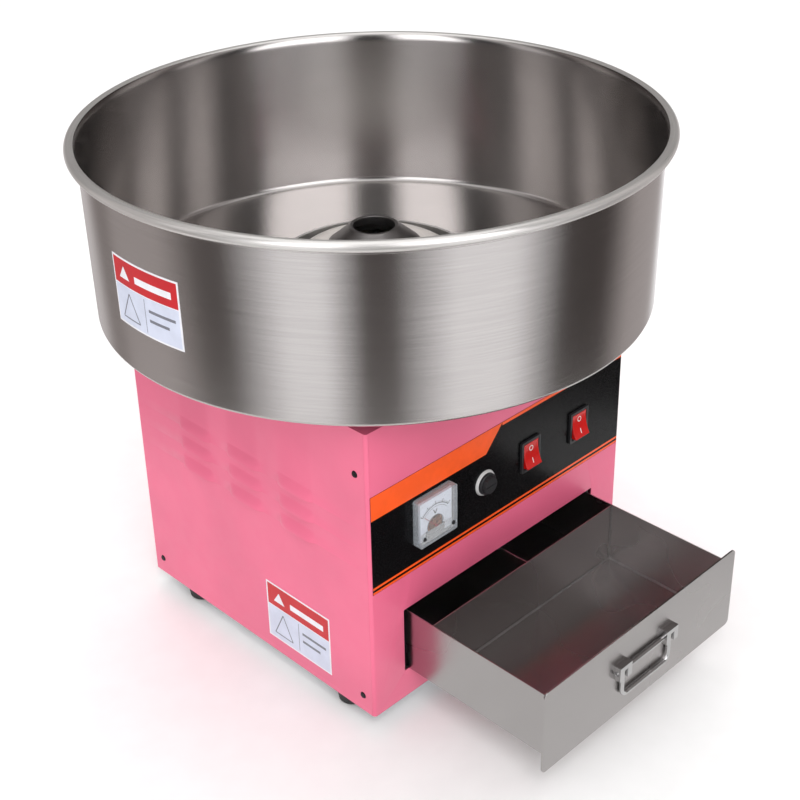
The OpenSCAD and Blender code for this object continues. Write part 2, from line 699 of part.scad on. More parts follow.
// A ring of slots that the dome stands on and the melted sugar is thrown through.
module floss_band() color(zinc) translate([0, 0, head_z + 3.5]) difference() {
    tube(80.5, 79.5, 5.9);
    around(band_slots, 80) translate([0, 0, 3]) rotate([0, 90, 0])
        cylinder(r = 1.6, h = 6, center = true, $fn = 16);
}

dome_points = [[36, 34.6], [42, 34], [54, 27.8], [67, 21], [77, 14.5], [80.5, 11], [81, 9.4]];
dome_t = 1.6;

// The dome is a spun sheet: its outline and the same outline set inwards and down.
module head_dome() color("gainsboro") rotate_extrude($fn = 128) translate([0, head_z])
    polygon(concat(dome_points,
        [for (i = [len(dome_points) - 1:-1:0]) dome_points[i] - [dome_t * i / 6, i < 6 ? dome_t : 0]]));

module head_funnel() color("silver") rotate_extrude($fn = 96) polygon([
    [mouth_r, mouth_z], [mouth_r + 3, mouth_z], [mouth_r + 4.2, mouth_z - 1.2],
    [42, dome_top_z + 1.8], [42, dome_top_z + 0.8], [35.5, dome_top_z + 0.8], [34, dome_top_z - 1.5],
    [22, mouth_z - 8.5], [mouth_r, mouth_z - 8]]);

// Each screw comes up through the dish into a pillar that stops just under the dome.
module head_screws() color(zinc) around(4, pillar_r, 45) translate([0, 0, head_z]) {
    translate([0, 0, -3]) cylinder(r = 4.4, h = 3, $fn = 6);
    translate([0, 0, -1]) cylinder(r = 1.95, h = 6, $fn = 32);
    translate([0, 0, 3.5]) cylinder(r = 3, h = 18.5, $fn = 32);
}

// ---- Bowl ----

module bowl() color(steel) {
    rotate_extrude($fn = 180) polygon([
        [bowl_hole_r, bowl_z], [wall_foot_r - 3, bowl_z], [wall_foot_r - 0.9, bowl_z + 0.9],
        [wall_foot_r, bowl_z + 3], [wall_top_r, rim_z - bead_r], [wall_top_r - wall_t, rim_z - bead_r],
        [wall_foot_r - wall_t, bowl_z + 3.4], [wall_foot_r - wall_t - 2.2, bowl_z + wall_t],
        [bowl_hole_r + wall_t, bowl_z + wall_t], [bowl_hole_r + wall_t, bowl_z + 4],
        [bowl_hole_r, bowl_z + 4]]);
    rotate_extrude($fn = 180) translate([bowl_r - bead_r, rim_z - bead_r]) circle(bead_r, $fn = 48);
    rotate_extrude($fn = 180) polygon([
        [wall_top_r - wall_t, rim_z - bead_r - 0.2], [wall_top_r + 1.2, rim_z - bead_r - 0.2],
        [wall_top_r + 1.2, rim_z - 2], [wall_top_r - 0.2, rim_z - 2.6]]);
}

module bowl_gasket() color(black) translate([0, 0, bowl_z - gasket_t]) tube(118, 106, gasket_t);

label_arc = 19.3;
label_z0 = bowl_z + 44;
label_z1 = bowl_z + 104;

function wall_r(z) = wall_foot_r
    + (wall_top_r - wall_foot_r) * (z - bowl_z - 3) / (rim_z - bead_r - bowl_z - 3);

module bowl_label() color("white") rotate([0, 0, 180 - label_arc / 2])
    rotate_extrude(angle = label_arc, $fn = 180) polygon([
        [wall_r(label_z0), label_z0], [wall_r(label_z0) + 0.3, label_z0],
        [wall_r(label_z1) + 0.3, label_z1], [wall_r(label_z1), label_z1]]);

side_panels();
back_panel();
front_panel();
top_deck();
base_plate();
feet();
foot_screws();
side_screws();
control_overlay();
side_label();
drawer_tunnel();
drawer_rails();
motor_bridge();
motor_dampers();
motor_lower_shield();
motor_upper_shield();
stator_core();
stator_coils();
motor_bolts();
motor_bearings();
brush_holder();
brush_springs();
cord_gland();
terminal_block();
run_capacitor();
wiring_loom();
meter_case();
meter_dial();
meter_movement();
meter_cover();
meter_needle();
fuse_holder();
fuse_link();
fuse_cap();
heat_switch_frame();
power_switch_frame();
heat_rocker();
power_rocker();
upper_brush();
lower_brush();
drawer_tray();
drawer_partition();
drawer_front();
handle_lugs();
handle_bail();
motor_shaft();
rotor_core();
cooling_fan();
slip_ring_hub();
slip_rings();
head_hub();
head_dish();
heater_element();
floss_band();
head_dome();
head_funnel();
head_screws();
bowl();
bowl_gasket();
bowl_label();
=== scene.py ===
# The looks of a counter-top cotton candy machine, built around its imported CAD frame.
# Metres. +Z is up, the front faces -Y, and the origin is on the counter under the bowl's axis.
import functools
import json
import math

import bmesh
import bpy
from mathutils import Matrix, Vector


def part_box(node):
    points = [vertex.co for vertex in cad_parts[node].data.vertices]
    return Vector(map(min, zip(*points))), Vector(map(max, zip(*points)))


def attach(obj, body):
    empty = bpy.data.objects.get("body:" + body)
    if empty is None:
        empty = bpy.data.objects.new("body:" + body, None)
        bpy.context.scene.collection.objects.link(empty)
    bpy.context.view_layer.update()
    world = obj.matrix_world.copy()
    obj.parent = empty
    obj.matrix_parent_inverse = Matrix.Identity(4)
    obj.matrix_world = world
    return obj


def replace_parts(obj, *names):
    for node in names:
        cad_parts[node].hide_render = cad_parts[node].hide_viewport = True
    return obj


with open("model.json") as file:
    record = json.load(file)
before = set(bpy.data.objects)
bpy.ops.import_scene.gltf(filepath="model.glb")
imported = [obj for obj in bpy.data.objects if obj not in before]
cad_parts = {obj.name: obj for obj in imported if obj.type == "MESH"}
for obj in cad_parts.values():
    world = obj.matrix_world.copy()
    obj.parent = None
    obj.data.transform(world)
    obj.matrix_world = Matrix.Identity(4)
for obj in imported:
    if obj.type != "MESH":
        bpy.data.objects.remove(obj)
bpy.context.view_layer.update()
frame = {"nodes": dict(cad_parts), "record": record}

MM = 0.001


def srgb(red, green, blue):
    """A colour read as 0 to 255 screen values, as the linear values that shaders use."""
    def linear(v):
        v /= 255
        return v / 12.92 if v <= 0.04045 else ((v + 0.055) / 1.055) ** 2.4
    return (linear(red), linear(green), linear(blue), 1)


# ---- Shader nodes ----

def node(tree, kind, inputs=None, **settings):
    """A shader node. An input's value is a number, a colour, a vector or another node's socket."""
    made = tree.nodes.new("ShaderNode" + kind)
    for key, value in settings.items():
        setattr(made, key, value)
    for key, value in (inputs or {}).items():
        if isinstance(value, bpy.types.NodeSocket):
            tree.links.new(value, made.inputs[key])
        else:
            made.inputs[key].default_value = value
    return made


def math_node(tree, operation, a, b=0.0):
    return node(tree, "Math", {0: a, 1: b}, operation=operation).outputs[0]


def new_material(name, colour, roughness, metallic=0.0, **constants):
    """A material with one principled shader, whose constants are set on its own sockets."""
    material = bpy.data.materials.new(name)
    material.use_nodes = True
    tree = material.node_tree
    shader = tree.nodes["Principled BSDF"]
    shader.inputs["Base Color"].default_value = colour
    shader.inputs["Roughness"].default_value = roughness
    shader.inputs["Metallic"].default_value = metallic
    for key, value in constants.items():
        shader.inputs[key.replace("_", " ")].default_value = value
    return material, tree, shader


def place(tree):
    """The point on the piece, in the row frame at rest, in metres."""
    return node(tree, "TexCoord").outputs["Object"]


def noise(tree, point, scale, detail=3.0, stretch=(1, 1, 1)):
    """Noise from 0 to 1. Scale is in cells per metre, and stretch multiplies it along each axis."""
    mapped = node(tree, "Mapping", {"Vector": point, "Scale": stretch}).outputs[0]
    return node(tree, "TexNoise", {"Vector": mapped, "Scale": scale, "Detail": detail}).outputs["Fac"]


def around_axis(tree, point, radius):
    """The point unrolled about the Z axis: (arc length at that radius, distance out, height)."""
    split = node(tree, "SeparateXYZ", {0: point}).outputs
    turn = math_node(tree, "ARCTAN2", split["Y"], split["X"])
    arc = math_node(tree, "MULTIPLY", turn, radius)
    square = math_node(tree, "ADD", math_node(tree, "MULTIPLY", split["X"], split["X"]),
                       math_node(tree, "MULTIPLY", split["Y"], split["Y"]))
    out = math_node(tree, "SQRT", square)
    return node(tree, "CombineXYZ", {"X": arc, "Y": out, "Z": split["Z"]}).outputs[0]


def spread(tree, value, low, high):
    """Noise near its middle value, spread from low to high."""
    return node(tree, "MapRange", {"Value": value, "From Min": 0.3, "From Max": 0.7,
                                   "To Min": low, "To Max": high},
                interpolation_type="SMOOTHSTEP").outputs[0]


def mix_colour(tree, factor, a, b):
    """The colour that goes from a to b as the factor goes from 0 to 1."""
    made = node(tree, "Mix", data_type="RGBA")
    sockets = [s for s in made.inputs if s.type == "RGBA"]
    for socket, value in zip(sockets, (a, b)):
        if isinstance(value, bpy.types.NodeSocket):
            tree.links.new(value, socket)
        else:
            socket.default_value = value
    tree.links.new(factor, made.inputs["Factor"])
    return [s for s in made.outputs if s.type == "RGBA"][0]


def vary_colour(tree, shader, value, dark, light):
    tone = mix_colour(tree, spread(tree, value, 0, 1), dark, light)
    tree.links.new(tone, shader.inputs["Base Color"])


def bump(tree, shader, height, distance, strength=1.0):
    """Bump whose height of 1 stands for a distance in metres."""
    made = node(tree, "Bump", {"Height": height, "Distance": distance, "Strength": strength})
    tree.links.new(made.outputs[0], shader.inputs["Normal"])


def shade(colour, factor):
    return (colour[0] * factor, colour[1] * factor, colour[2] * factor, 1)


# ---- Materials ----

def powder_coat(name, colour):
    """Satin powder coat: an orange-peel skin over a colour that drifts a little."""
    material, tree, shader = new_material(name, colour, 0.42, Coat_Weight=0.25, Coat_Roughness=0.28)
    point = place(tree)
    vary_colour(tree, shader, noise(tree, point, 9, 2), shade(colour, 0.94), shade(colour, 1.05))
    tree.links.new(spread(tree, noise(tree, point, 60, 3), 0.38, 0.48), shader.inputs["Roughness"])
    bump(tree, shader, noise(tree, point, 900, 2), 0.03 * MM, 0.5)
    return material


def brushed(name, colour, grain, roughness, anisotropy, waviness=0.0, contrast=0.1, depth=0.0022,
            metallic=1.0):
    """Brushed metal, whose lines run round the Z axis ("ring") or level along the sheets ("level").

    Contrast is how far the colour and the roughness drift. Waviness and depth are the heights of the
    slow waves and of the lines, in millimetres.
    """
    material, tree, shader = new_material(name, colour, roughness, metallic, Anisotropic=anisotropy)
    point = place(tree)
    tone = noise(tree, point, 7, 2)
    if grain == "ring":
        streaked = around_axis(tree, point, 0.25)
        streaks = noise(tree, streaked, 14, 4, (1, 70, 70))
        tangent = node(tree, "Tangent", direction_type="RADIAL", axis="Z").outputs[0]
        shader.inputs["Anisotropic Rotation"].default_value = 0.25
        tone = math_node(tree, "MULTIPLY", math_node(tree, "ADD", streaks, tone), 0.5)
    else:
        streaked = point
        normal = node(tree, "NewGeometry").outputs["True Normal"]
        facing_up = math_node(tree, "ABSOLUTE", node(tree, "SeparateXYZ", {0: normal}).outputs["Z"])
        upright = math_node(tree, "SUBTRACT", 1.0, facing_up)
        tangent = node(tree, "CombineXYZ", {"Y": facing_up, "Z": upright}).outputs[0]
        streaks = math_node(tree, "ADD",
                            math_node(tree, "MULTIPLY", upright, noise(tree, point, 14, 4, (1, 1, 70))),
                            math_node(tree, "MULTIPLY", facing_up, noise(tree, point, 14, 4, (1, 70, 1))))
    tree.links.new(tangent, shader.inputs["Tangent"])
    vary_colour(tree, shader, tone, shade(colour, 1 - contrast), shade(colour, 1 + contrast * 0.6))
    tree.links.new(spread(tree, tone, roughness * (1 - contrast), roughness * (1 + contrast)),
                   shader.inputs["Roughness"])
    height = math_node(tree, "MULTIPLY", streaks, depth * MM)
    if waviness:
        waves = noise(tree, streaked, 4.5, 1, (1, 0.6, 0.25))
        height = math_node(tree, "ADD", height, math_node(tree, "MULTIPLY", waves, waviness * MM))
    bump(tree, shader, height, 1.0)
    return material


def polished(name, colour, roughness=0.12):
    """Bright metal with faint handling marks."""
    material, tree, shader = new_material(name, colour, roughness, 1.0)
    point = place(tree)
    marks = noise(tree, point, 140, 4)
    tree.links.new(spread(tree, marks, roughness * 0.7, roughness * 1.6), shader.inputs["Roughness"])
    vary_colour(tree, shader, noise(tree, point, 25, 2), shade(colour, 0.92), shade(colour, 1.04))
    return material


def cast_metal(name, colour, roughness=0.45, grain=1400):
    """Cast or sheared metal, with a fine even tooth."""
    material, tree, shader = new_material(name, colour, roughness, 1.0)
    point = place(tree)
    tooth = noise(tree, point, grain, 3)
    vary_colour(tree, shader, noise(tree, point, 45, 4), shade(colour, 0.82), shade(colour, 1.1))
    tree.links.new(spread(tree, tooth, roughness * 0.85, roughness * 1.15), shader.inputs["Roughness"])
    bump(tree, shader, tooth, 0.04 * MM)
    return material


def plastic(name, colour, roughness=0.45, tooth=0.02, **constants):
    """Moulded plastic or rubber. Tooth is the depth of its grain in millimetres."""
    material, tree, shader = new_material(name, colour, roughness, **constants)
    point = place(tree)
    grain = noise(tree, point, 1600, 2)
    vary_colour(tree, shader, noise(tree, point, 60, 3), shade(colour, 0.95), shade(colour, 1.05))
    tree.links.new(spread(tree, grain, roughness * 0.85, roughness * 1.15), shader.inputs["Roughness"])
    bump(tree, shader, grain, tooth * MM)
    return material


def clear_plastic(name, colour, roughness=0.04, alpha=0.1):
    material, tree, shader = new_material(name, colour, roughness, Alpha=alpha)
    tree.links.new(spread(tree, noise(tree, place(tree), 90, 3), roughness * 0.5, roughness * 2),
                   shader.inputs["Roughness"])
    return material


PINK = srgb(232, 106, 140)
STEEL = (0.60, 0.575, 0.56, 1)
DRAWER_STEEL = (0.43, 0.41, 0.405, 1)
ALUMINIUM = (0.50, 0.49, 0.48, 1)
BLACK = (0.012, 0.012, 0.014, 1)

materials = {
    "pink_paint": powder_coat("powder_coat_pink", PINK),
    "galvanised": cast_metal("zinc_plate", (0.55, 0.57, 0.6, 1), 0.4, 300),
    "black_rubber": plastic("rubber_black", (0.015, 0.015, 0.016, 1), 0.7, 0.06),
    "black_screw": cast_metal("screw_black_oxide", (0.03, 0.025, 0.03, 1), 0.4),
    "overlay_film": plastic("film_black", (0.003, 0.003, 0.0035, 1), 0.25, 0.006, Specular_IOR_Level=0.18),
    "label_film": plastic("film_white", srgb(214, 214, 228), 0.4, 0.005),
    "white_nylon": plastic("nylon_white", (0.75, 0.74, 0.7, 1), 0.5),
    "cast_aluminium": cast_metal("aluminium_cast", ALUMINIUM),
    "polished_aluminium": brushed("aluminium_spun", (0.78, 0.75, 0.72, 1), "ring", 0.36, 0.5),
    "lamination_steel": cast_metal("steel_laminations", (0.22, 0.22, 0.24, 1), 0.5, 500),
    "copper": cast_metal("copper_enamelled", (0.62, 0.28, 0.14, 1), 0.3, 700),
    "bearing_steel": polished("steel_ground", (0.68, 0.68, 0.7, 1), 0.15),
    "bakelite": plastic("phenolic_brown", (0.09, 0.03, 0.015, 1), 0.4),
    "black_plastic": plastic("plastic_black", (0.02, 0.02, 0.022, 1), 0.4),
    "wire_insulation": plastic("silicone_red", (0.45, 0.015, 0.012, 1), 0.45),
    "dial_card": plastic("card_white", srgb(208, 214, 226), 0.6, 0.01),
    "clear_acrylic": clear_plastic("acrylic_clear", (0.95, 0.96, 0.97, 1)),
    "needle_paint": plastic("needle_paint", (0.25, 0.01, 0.01, 1), 0.4),
    "white_plastic": plastic("plastic_white", (0.62, 0.62, 0.62, 1), 0.35),
    "fuse_glass": clear_plastic("glass_clear", (0.96, 0.98, 0.98, 1), 0.02),
    "red_rocker": plastic("plastic_red", srgb(196, 14, 10), 0.22, 0.004),
    "carbon": plastic("carbon_pressed", (0.03, 0.03, 0.033, 1), 0.6, 0.05),
    "brushed_stainless": brushed("stainless_sheet", DRAWER_STEEL, "level", 0.27, 0.55, contrast=0.03,
                                 depth=0.00008),
    "bright_chrome": polished("chrome", (0.54, 0.535, 0.535, 1), 0.08),
    "heater_alloy": cast_metal("heater_alloy", (0.14, 0.11, 0.1, 1), 0.55),
}
materials["bowl_steel"] = brushed("stainless_bowl", STEEL, "ring", 0.21, 0.85, waviness=0.2, contrast=0.07)
materials["orange_print"] = plastic("film_orange", srgb(250, 90, 25), 0.35, 0.01)
materials["label_red"] = plastic("print_red", srgb(196, 22, 34), 0.35, 0.004)
materials["label_pale"] = plastic("print_pale", srgb(206, 212, 230), 0.4, 0.004)
materials["label_grey"] = plastic("print_grey", srgb(120, 122, 132), 0.4, 0.004)
materials["label_white"] = plastic("print_white", srgb(232, 232, 238), 0.4, 0.004)
materials["mark_white"] = plastic("paint_white", srgb(225, 225, 225), 0.4, 0.004)
materials["print_black"] = plastic("ink_black", BLACK, 0.4, 0.004)
materials["head_grey"] = cast_metal("aluminium_anodised", (0.2, 0.19, 0.185, 1), 0.42, 900)
materials["head_pale"] = brushed("aluminium_dome", (0.80, 0.775, 0.735, 1), "ring", 0.4, 0.3)
# The bead: a lighter copy of the bowl's steel, a painted highlight that keeps the rim bright all round; it is
# also less metallic, so it takes matt light as well.
materials["bead_steel"] = brushed("stainless_bead_painted_highlight", (0.72, 0.70, 0.68, 1), "ring", 0.3, 0.3, depth=0.0005,
                                  metallic=0.7)
# The inside: the bowl's steel darkened by 0.86, painted shade that deepens its dark bands; its brushing is
# its own.
materials["bowl_inside"] = brushed("stainless_inside_painted_shade", shade(STEEL, 0.86), "ring", 0.24, 0.93, waviness=0.1,
                                   contrast=0.05, depth=0.0008)
materials["weld_steel"] = polished("weld_bead", (0.26, 0.25, 0.245, 1), 0.4)
materials["pale_acrylic"] = plastic("acrylic_edge", (0.5, 0.55, 0.6, 1), 0.15, 0.004, Alpha=0.35)
materials["frosted_acrylic"] = clear_plastic("acrylic_frosted", (0.72, 0.75, 0.78, 1), 0.45, 0.25)

for row in frame["record"]["subparts"]:
    cad = frame["nodes"][row["node"]]
    cad.data.materials.clear()
    cad.data.materials.append(materials[row["material_slot"]])
frame["nodes"]["bowl"].data.materials[0] = materials["bowl_steel"]


# ---- Making meshes ----

SHARP_ANGLE = 35


def filleted(corners, steps=6):
    """A closed outline whose corners, given as (x, y, radius), are rounded by arcs."""
    outline = []
    for i, (x, y, radius) in enumerate(corners):
        at = Vector((x, y))
        if radius == 0:
            outline.append(at)
            continue
        before = (Vector(corners[i - 1][:2]) - at).normalized()
        after = (Vector(corners[(i + 1) % len(corners)][:2]) - at).normalized()
        half = before.angle(after) / 2
        reach = radius / math.tan(half)
        centre = at + (before + after).normalized() * radius / math.sin(half)
        start = at + before * reach - centre
        end = at + after * reach - centre
        turn = start.angle_signed(end)
        for k in range(steps + 1):
            angle = -turn * k / steps
            outline.append(centre + Matrix.Rotation(angle, 2) @ start)
    return outline


def rectangle(width, height, radius, centre=(0, 0)):
    """A closed outline with its corners rounded."""
    x, y = width / 2, height / 2
    return [p + Vector(centre) for p in
            filleted([(-x, -y, radius), (x, -y, radius), (x, y, radius), (-x, y, radius)])]


def ring_points(radius, count, centre=(0, 0)):
    """A circle as a closed outline."""
    return [Vector((centre[0] + radius * math.cos(math.tau * i / count),
                    centre[1] + radius * math.sin(math.tau * i / count))) for i in range(count)]


def smooth(mesh, sharp_angle=SHARP_ANGLE):
    mesh.shade_smooth()
    mesh.set_sharp_from_angle(angle=math.radians(sharp_angle))
    return mesh


def finish_mesh(mesh, sharp_angle=SHARP_ANGLE):
    """Welds points that meet, faces the surface outwards and smooths it up to an angle in degrees."""
    made = bmesh.new()
    made.from_mesh(mesh)
    bmesh.ops.remove_doubles(made, verts=made.verts, dist=0.002 * MM)
    bmesh.ops.recalc_face_normals(made, faces=made.faces)
    made.to_mesh(mesh)
    made.free()
    return smooth(mesh, sharp_angle)


def new_mesh(name, points, faces, sharp_angle=SHARP_ANGLE):
    """A mesh from points in millimetres."""
    mesh = bpy.data.meshes.new(name)
    mesh.from_pydata([Vector(p) * MM for p in points], [], faces)
    return finish_mesh(mesh, sharp_angle)


def lathed(name, profile, segments=256, sharp_angle=SHARP_ANGLE):
    """A closed profile of (radius, height) turned about the Z axis."""
    points = []
    for i in range(segments):
        turn = math.tau * i / segments
        points += [(r * math.cos(turn), r * math.sin(turn), z) for r, z in profile]
    n = len(profile)
    faces = [(i * n + k, i * n + (k + 1) % n, (i + 1) % segments * n + (k + 1) % n,
              (i + 1) % segments * n + k) for i in range(segments) for k in range(n)]
    return new_mesh(name, points, faces, sharp_angle)


def extruded(name, outline, length):
    """A closed outline in X and Y, extruded upwards from zero."""
    n = len(outline)
    points = [(p[0], p[1], z) for z in (0, length) for p in outline]
    sides = [(k, (k + 1) % n, n + (k + 1) % n, n + k) for k in range(n)]
    return new_mesh(name, points, sides + [tuple(range(n)), tuple(range(n, 2 * n))])


def plate(name, outlines, thickness, edge=0.15):
    """A flat plate of the first outline less the others, with rounded edges, centred on Z = 0."""
    curve = bpy.data.curves.new(name, "CURVE")
    curve.dimensions = "2D"
    curve.fill_mode = "BOTH"
    curve.extrude = (thickness / 2 - edge) * MM
    curve.bevel_depth = edge * MM
    curve.bevel_resolution = 2
    curve.offset = -edge * MM
    for outline in outlines:
        spline = curve.splines.new("POLY")
        spline.points.add(len(outline) - 1)
        for point, (x, y) in zip(spline.points, outline):
            point.co = (x * MM, y * MM, 0, 1)
        spline.use_cyclic_u = True
    drawn = bpy.data.objects.new(name, curve)
    bpy.context.scene.collection.objects.link(drawn)
    bpy.context.view_layer.update()
    mesh = bpy.data.meshes.new_from_object(drawn.evaluated_get(bpy.context.evaluated_depsgraph_get()))
    bpy.data.objects.remove(drawn)
    mesh.materials.clear()
    return finish_mesh(mesh)


def moved(mesh, x=0.0, y=0.0, z=0.0, turn=None):
    """The mesh turned by a 3 by 3 matrix and then shifted, in millimetres."""
    mesh.transform(Matrix.Translation(Vector((x, y, z)) * MM) @ (turn or Matrix.Identity(3)).to_4x4())
    return mesh


def other_side(mesh):
    """A copy mirrored from the right side to the left."""
    copy = mesh.copy()
    copy.transform(Matrix.Diagonal((-1, 1, 1, 1)))
    copy.flip_normals()
    return copy


def joined(name, meshes):
    made = bmesh.new()
    for mesh in meshes:
        made.from_mesh(mesh)
    whole = bpy.data.meshes.new(name)
    made.to_mesh(whole)
    made.free()
    return smooth(whole)


def piece(name, mesh, material, body, replaced=()):
    """A named piece of the machine on one of its bodies, in place of the CAD nodes that it replaces."""
    made = bpy.data.objects.new(name, mesh)
    bpy.context.scene.collection.objects.link(made)
    mesh.materials.append(materials[material])
    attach(made, body)
    if replaced:
        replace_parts(made, *replaced)
    return made


def soften(target, width, segments=2, angle=32):
    """Rounds the sharp edges of an object by a width in millimetres, without changing its mesh."""
    weld = target.modifiers.new("weld", "WELD")
    weld.merge_threshold = 0.004 * MM
    bevel = target.modifiers.new("edges", "BEVEL")
    bevel.width = width * MM
    bevel.segments = segments
    bevel.limit_method = "ANGLE"
    bevel.angle_limit = math.radians(angle)
    bevel.harden_normals = True


# The way that a drawing's X, Y and outward Z lie on the front and on the left side.
ON_FRONT = Matrix(((1, 0, 0), (0, 0, -1), (0, 1, 0)))
ON_LEFT = Matrix(((0, 0, -1), (-1, 0, 0), (0, 1, 0)))


@functools.cache
def box_mm(node_name):
    """The low and high corners of a CAD node's box, in millimetres."""
    low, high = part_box(node_name)
    return Vector(low) / MM, Vector(high) / MM


def seen_centre(node_name):
    """The middle of a CAD node's box seen from the front: (x, z) in millimetres."""
    low, high = box_mm(node_name)
    return (low.x + high.x) / 2, (low.z + high.z) / 2


# ---- Printing: flat marks laid as thin films on a surface ----

def flat_surface(turn, origin):
    """A surface on which (u, v, height) are a drawing's X, Y and outward Z."""
    return lambda u, v, height: turn @ Vector((u, v, height)) + Vector(origin)


# A drawing is a list of quads, each of four (u, v) corners in millimetres.

def rect(u0, v0, u1, v1, columns=1):
    step = (u1 - u0) / columns
    return [((u0 + i * step, v0), (u0 + (i + 1) * step, v0), (u0 + (i + 1) * step, v1), (u0 + i * step, v1))
            for i in range(columns)]


def stroke(start, end, width, steps=8):
    """A straight line, in short quads that can follow a curved surface."""
    a, b = Vector(start), Vector(end)
    side = (b - a).normalized().orthogonal() * width / 2
    stops = [a.lerp(b, k / steps) for k in range(steps + 1)]
    return [(p - side, q - side, q + side, p + side) for p, q in zip(stops, stops[1:])]


def triangle(centre, foot, width, height, rows=6):
    """A filled triangle standing on its base, in thin level bands."""
    bands = []
    for k in range(rows):
        low, high = (width / 2 * (1 - j / rows) for j in (k, k + 1))
        v0, v1 = (foot + height * j / rows for j in (k, k + 1))
        bands += [((centre - low, v0), (centre, v0), (centre, v1), (centre - high, v1)),
                  ((centre, v0), (centre + low, v0), (centre + high, v1), (centre, v1))]
    return bands


def arc(centre, radius, width, start, end, steps=24):
    """A curved stroke. Angles are in degrees from the drawing's X."""
    def at(r, k):
        angle = math.radians(start + (end - start) * k / steps)
        return (centre[0] + r * math.cos(angle), centre[1] + r * math.sin(angle))
    low, high = radius - width / 2, radius + width / 2
    return [(at(low, k), at(high, k), at(high, k + 1), at(low, k + 1)) for k in range(steps)]


def printed(name, surface, quads, material, body, height=0.06, base=0.0):
    """The quads of a drawing as one thin film, from a base height above the surface."""
    points, faces = [], []
    for quad in quads:
        n = len(points)
        points += [surface(u, v, h) for h in (base, base + height) for u, v in quad]
        faces += [(n, n + 1, n + 2, n + 3), (n + 4, n + 5, n + 6, n + 7)]
        faces += [(n + k, n + (k + 1) % 4, n + 4 + (k + 1) % 4, n + 4 + k) for k in range(4)]
    mesh = bpy.data.meshes.new(name)
    mesh.from_pydata([Vector(p) * MM for p in points], [], faces)
    made = bmesh.new()
    made.from_mesh(mesh)
    bmesh.ops.recalc_face_normals(made, faces=made.faces)
    made.to_mesh(mesh)
    made.free()
    return piece(name, mesh, material, body)


# ---- Bowl ----

BEAD_R = 4.6
BOWL_SHEET = 1.2
BOWL_HOLE_R = 98
BOWL_TAPER = 1.8
BEAD_GAP = 0.4


def bowl_radii():
    """The outer radii of the wall at the height of the floor and just under the rim."""
    top = box_mm("bowl")[1].x - 2 * BEAD_R - BEAD_GAP
    return top - BOWL_TAPER, top


def wall_radius(z):
    """The wall's outer radius at a height."""
    low, high = box_mm("bowl")
    foot_r, top_r = bowl_radii()
    floor, rim = low.z + 3, high.z - BEAD_R
    return foot_r + (top_r - foot_r) * (z - floor) / (rim - floor)


def bowl_profile(bead):
    """The wall runs up outside to its seam, curls under and over the bead and runs down inside."""
    low, high = box_mm("bowl")
    foot_r, top_r = bowl_radii()
    neck_z, seam_z = high.z - 14, high.z - 12.4
    outside = filleted([(BOWL_HOLE_R, low.z, 0.5), (foot_r, low.z, 4), (wall_radius(neck_z), neck_z, 0)])
    outside = outside[:-1]
    seam = [(wall_radius(seam_z) + out, seam_z + up)
            for out, up in ((0, -0.8), (0.35, -0.35), (0.35, 0.35), (0, 0.8))]
    curl = [(bead.x + BEAD_R * math.cos(t), bead.y + BEAD_R * math.sin(t))
            for t in (math.radians(205 + 245 * k / 24) for k in range(25))]
    roll = [(bead.x + (bead.x - top_r + BOWL_SHEET) * math.cos(t), bead.y - 3.4 + 8 * math.sin(t))
            for t in (math.radians(90 + 90 * k / 8) for k in range(1, 9))]
    floor_z, lip_z, lip_r = low.z + BOWL_SHEET, low.z + 4, BOWL_HOLE_R + BOWL_SHEET
    inside = filleted([(top_r - BOWL_SHEET, high.z - 10, 0), (foot_r - BOWL_SHEET, floor_z, 5.5),
                       (lip_r, floor_z, 1.2), (lip_r, lip_z, 0.4), (BOWL_HOLE_R, lip_z, 0.4)], 8)
    return outside + seam + curl + roll + inside


def bowl():
    """The spun bowl, with its own finishes on the bead and inside; the bead's steel is lighter, a painted
    highlight, and the inside's darker, a painted shade.
    """
    high = box_mm("bowl")[1]
    bead = Vector((high.x - BEAD_R, high.z - BEAD_R))
    shell = piece("bowl_shell", lathed("bowl_shell", bowl_profile(bead), 320), "bowl_steel", "bowl",
                  ["bowl"])
    shell.data.materials.append(materials["bead_steel"])
    shell.data.materials.append(materials["bowl_inside"])
    for face in shell.data.polygons:
        across = Vector((face.center.xy.length, face.center.z)) / MM
        # Faces on the bead take the lighter steel, a painted highlight.
        if (across - bead).length < BEAD_R + 0.1:
            face.material_index = 1
        # Faces inside take the darker steel, a painted shade.
        elif face.normal.xy.dot(face.center.xy) < 0:
            face.material_index = 2


# ---- Spinner head ----

def sugar_funnel():
    mouth_r, mouth_z, dome_z = 18.8, box_mm("head_funnel")[1].z, box_mm("head_dome")[1].z
    profile = filleted([(mouth_r, mouth_z, 0.8), (mouth_r + 3, mouth_z, 1.2),
                        (mouth_r + 4.4, mouth_z - 1.6, 1.5), (42, dome_z + 1.2, 0.5), (42, dome_z + 0.2, 0.2),
                        (35.5, dome_z + 0.2, 0.3), (34, dome_z - 2.1, 1), (22, mouth_z - 8.5, 2),
                        (mouth_r, mouth_z - 8, 0.3)], 4)
    piece("sugar_funnel", lathed("sugar_funnel", profile, 128), "head_grey", "spinner",
          ["head_funnel"])


def spinner_dome():
    """The dome: a shell that falls from its crown to the rim in a curve."""
    low, high = box_mm("head_dome")
    crown_r, rim_r, wall, drop = 36, 81, 1.2, 1.5
    shape = [(crown_r + (rim_r - crown_r) * math.sin(t), low.z + (high.z - low.z) * math.cos(t) ** 1.25)
             for t in (math.pi / 2 * k / 16 for k in range(17))]
    crown = [(r, z) for r, z in shape if z > low.z + 0.4]
    under = [(r - wall, z - drop) for r, z in reversed(crown) if z - drop > low.z + 0.2]
    profile = crown + [(rim_r, low.z), (rim_r - 1.4, low.z)] + under
    piece("dome", lathed("dome", profile, 160, 50), "head_pale", "spinner",
          ["head_dome"])


# ---- Cabinet ----

